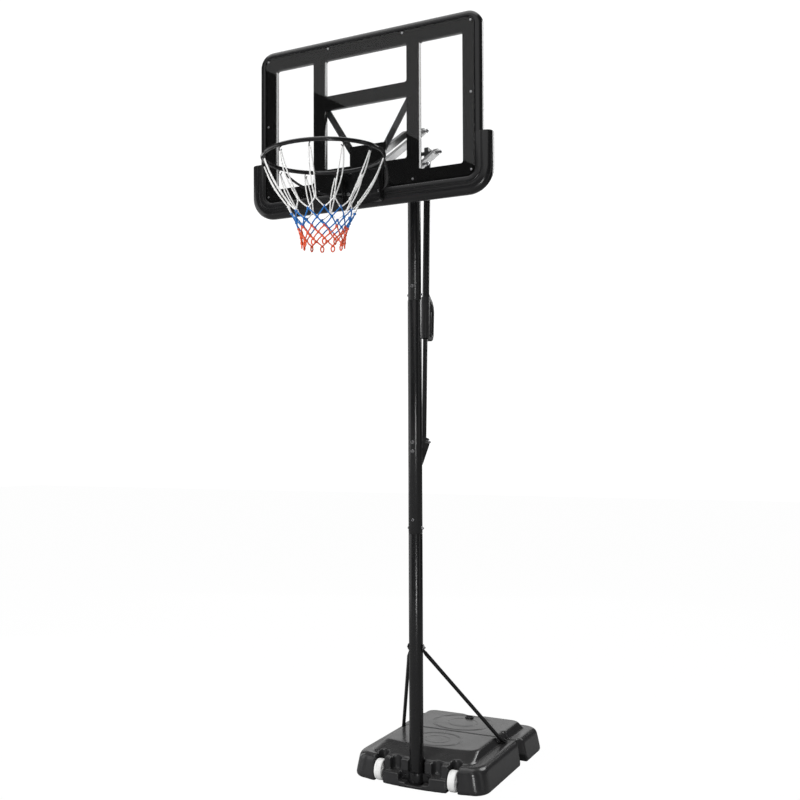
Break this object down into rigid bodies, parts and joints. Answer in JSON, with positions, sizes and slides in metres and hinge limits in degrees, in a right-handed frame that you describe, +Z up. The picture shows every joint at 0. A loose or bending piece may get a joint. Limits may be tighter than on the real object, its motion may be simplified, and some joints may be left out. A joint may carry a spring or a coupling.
{
  "type": "portable basketball hoop",
  "caption": "Portable basketball hoop with a water-filled base on wheels, sectional post, parallelogram height adjuster with trigger grip, clear framed backboard, ring and cord net.",
  "frame": {"origin": "on the floor, under the centre of the hoop's bounding box", "axes": "+Z up, -Y towards the playing side, +X to the right as seen by a player facing the board"},
  "size_m": [1.091, 2.026, 3.266],
  "materials": {
    "tank_plastic": "blow-moulded, finely pebbled, satin charcoal",
    "water": "water ballast, not visible",
    "black_plastic": "moulded black, fine texture",
    "grip_plastic": "moulded black, satin",
    "frame_plastic": "moulded black, semi-gloss",
    "clear_sheet": "clear, polished",
    "wheel_plastic": "moulded white",
    "black_coat": "black powder coat, satin",
    "grey_coat": "dark powder coat, satin",
    "gloss_coat": "black powder coat, glossy",
    "zinc": "zinc plated",
    "net_cord": "braided cord, white with blue and red rows"
  },
  "bodies": {
    "root": {"base_front_tank": "tank_plastic", "base_rear_tank": "tank_plastic", "water_front": "water", "water_rear": "water", "wheel_axles": "zinc", "axle_caps": "zinc", "pole_lower": "black_coat", "pole_middle": "black_coat", "pole_upper": "black_coat", "pole_top_cap": "black_plastic", "pole_joint_bolts": "zinc", "pole_foot_bracket": "black_coat", "foot_bracket_bolts": "zinc", "strut_left": "black_coat", "strut_right": "black_coat", "strut_pole_bolt": "zinc", "strut_base_bolts": "zinc", "adjuster_bracket": "black_coat", "adjuster_bracket_bolts": "zinc", "adjuster_foot_bolt": "zinc", "arm_pivot_bolts": "zinc", "arm_pivot_washers": "black_plastic"},
    "fill_cap_front": {"fill_cap_front": "black_plastic"},
    "fill_cap_rear": {"fill_cap_rear": "black_plastic"},
    "wheel_left": {"wheel_left": "wheel_plastic"},
    "wheel_right": {"wheel_right": "wheel_plastic"},
    "lower_arms": {"lower_arm_left": "grey_coat", "lower_arm_right": "grey_coat", "arm_rear_bolt": "zinc", "arm_rear_spacers": "black_plastic"},
    "upper_arms": {"upper_arm_left": "grey_coat", "upper_arm_right": "grey_coat"},
    "board": {"board_back_plate": "grey_coat", "board_brackets": "grey_coat", "front_pivot_bolts": "zinc", "front_pivot_spacers": "black_plastic", "support_left": "grey_coat", "support_right": "grey_coat", "support_bolts": "zinc", "backboard_frame": "frame_plastic", "backboard_sheet": "clear_sheet", "sheet_screws": "zinc", "bottom_guard": "frame_plastic", "rim_plate": "gloss_coat", "rim_ring": "gloss_coat", "rim_brace_left": "gloss_coat", "rim_brace_right": "gloss_coat", "rim_bolts": "zinc", "net_hooks": "gloss_coat", "net": "net_cord"},
    "adjuster_inner": {"adjuster_inner_tube": "black_coat"},
    "adjuster_outer": {"adjuster_outer_tube": "black_coat", "adjuster_guide_bush": "black_plastic", "adjuster_yoke": "black_plastic", "handle_grip": "grip_plastic", "handle_screws": "zinc", "lock_plate": "zinc", "lock_spring": "zinc", "trigger_pin": "zinc"},
    "trigger": {"trigger_lever": "grip_plastic"}
  },
  "joints": [
    {"name": "height_adjust", "type": "hinge", "parent": "root", "child": "lower_arms", "pos_m": [0, 0.141, 2.834], "axis": [-1, 0, 0], "range_deg": [0, 45]},
    {"name": "upper_arms_pivot", "type": "hinge", "parent": "root", "child": "upper_arms", "pos_m": [0, 0.141, 2.984], "axis": [-1, 0, 0], "range_deg": [0, 45]},
    {"name": "board_pivot", "type": "hinge", "parent": "lower_arms", "child": "board", "pos_m": [0, -0.31713, 2.5695], "axis": [1, 0, 0], "range_deg": [0, 45]},
    {"name": "adjuster_lean", "type": "hinge", "parent": "root", "child": "adjuster_inner", "pos_m": [0, 0.248, 1.56], "axis": [-1, 0, 0], "range_deg": [0, 1.24]},
    {"name": "adjuster_slide", "type": "slide", "parent": "adjuster_inner", "child": "adjuster_outer", "axis": [0, -0.0451, -0.999], "range_m": [0, 0.145]},
    {"name": "trigger_pull", "type": "hinge", "parent": "adjuster_outer", "child": "trigger", "pos_m": [0, 0.33065, 2.06078], "axis": [-1, 0, 0], "range_deg": [0, 3.4], "stiffness_Nm_per_rad": 2, "springref_deg": -2.86},
    {"name": "wheel_left_spin", "type": "hinge", "parent": "root", "child": "wheel_left", "pos_m": [-0.177, 0.146, 0.05], "axis": [1, 0, 0], "continuous": true},
    {"name": "wheel_right_spin", "type": "hinge", "parent": "root", "child": "wheel_right", "pos_m": [0.177, 0.146, 0.05], "axis": [1, 0, 0], "continuous": true},
    {"name": "fill_cap_front_turn", "type": "hinge", "parent": "root", "child": "fill_cap_front", "pos_m": [-0.06, 0.313, 0.1503], "axis": [0, 0, 1], "range_deg": [0, 360]},
    {"name": "fill_cap_rear_turn", "type": "hinge", "parent": "root", "child": "fill_cap_rear", "pos_m": [0, 0.853, 0.1503], "axis": [0, 0, 1], "range_deg": [0, 360]}
  ],
  "couplings": [
    {"joint": "upper_arms_pivot", "follows": "height_adjust", "ratio": 1},
    {"joint": "board_pivot", "follows": "height_adjust", "ratio": 1},
    {"joint": "adjuster_lean", "follows": "height_adjust", "ratio": 0.027},
    {"joint": "adjuster_slide", "follows": "height_adjust", "m_per_rad": 0.184}
  ]
}
